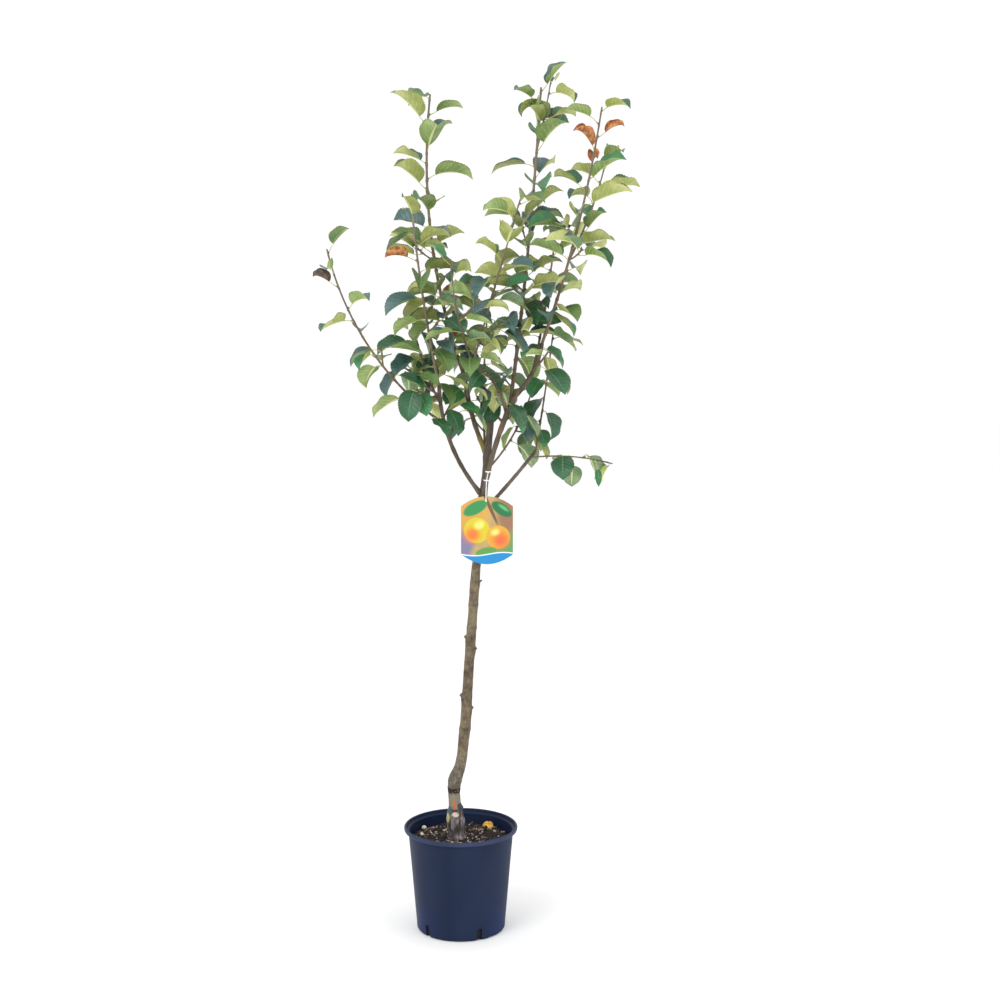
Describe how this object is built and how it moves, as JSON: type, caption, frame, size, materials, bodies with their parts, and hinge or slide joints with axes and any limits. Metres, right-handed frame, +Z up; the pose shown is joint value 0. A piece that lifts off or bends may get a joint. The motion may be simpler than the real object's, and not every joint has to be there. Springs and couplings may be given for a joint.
{
  "type": "dwarf apple tree in pot",
  "caption": "Young grafted dwarf apple tree with a bare leaning stem, an upright leafy crown and a hang tag, growing in a round nursery pot of dark plastic.",
  "frame": {"origin": "centre of the pot's flat underside, on the ground", "axes": "+Z up the tree, -Y towards the front with the tag, +X to the right seen from the front"},
  "size_m": [0.6556, 0.4495, 1.8131],
  "materials": {
    "pot_plastic": "dark blue-grey moulded plastic with a dull sheen",
    "potting_soil": "loose dark potting mix of bark chips with pale grains",
    "bark": "young olive-grey apple bark with fine pores and scars",
    "leaves": "matt green blades, paler and downy underneath, a few withered brown",
    "tag_card_print": "printed plastic card, yellow, orange and green over a blue foot",
    "strap_plastic": "white translucent tie"
  },
  "bodies": {
    "root": {"bough_back_left": "bark", "bough_left": "bark", "bough_low_right": "bark", "bough_right": "bark", "bough_right_upper": "bark", "foliage_back": "leaves", "foliage_back_right": "leaves", "foliage_centre_leader": "leaves", "foliage_cross": "leaves", "foliage_far_left": "leaves", "foliage_left_back": "leaves", "foliage_left_inner": "leaves", "foliage_left_leader": "leaves", "foliage_low_out": "leaves", "foliage_low_up": "leaves", "foliage_right_leader": "leaves", "foliage_spur_back_left": "leaves", "foliage_spur_left": "leaves", "foliage_spur_left_low": "leaves", "foliage_spur_right": "leaves", "foliage_spur_right_front": "leaves", "foliage_spur_right_upper": "leaves", "foliage_thin": "leaves", "pot": "pot_plastic", "soil": "potting_soil", "tag_card": "tag_card_print", "tag_strap": "strap_plastic", "trunk": "bark"}
  },
  "joints": []
}
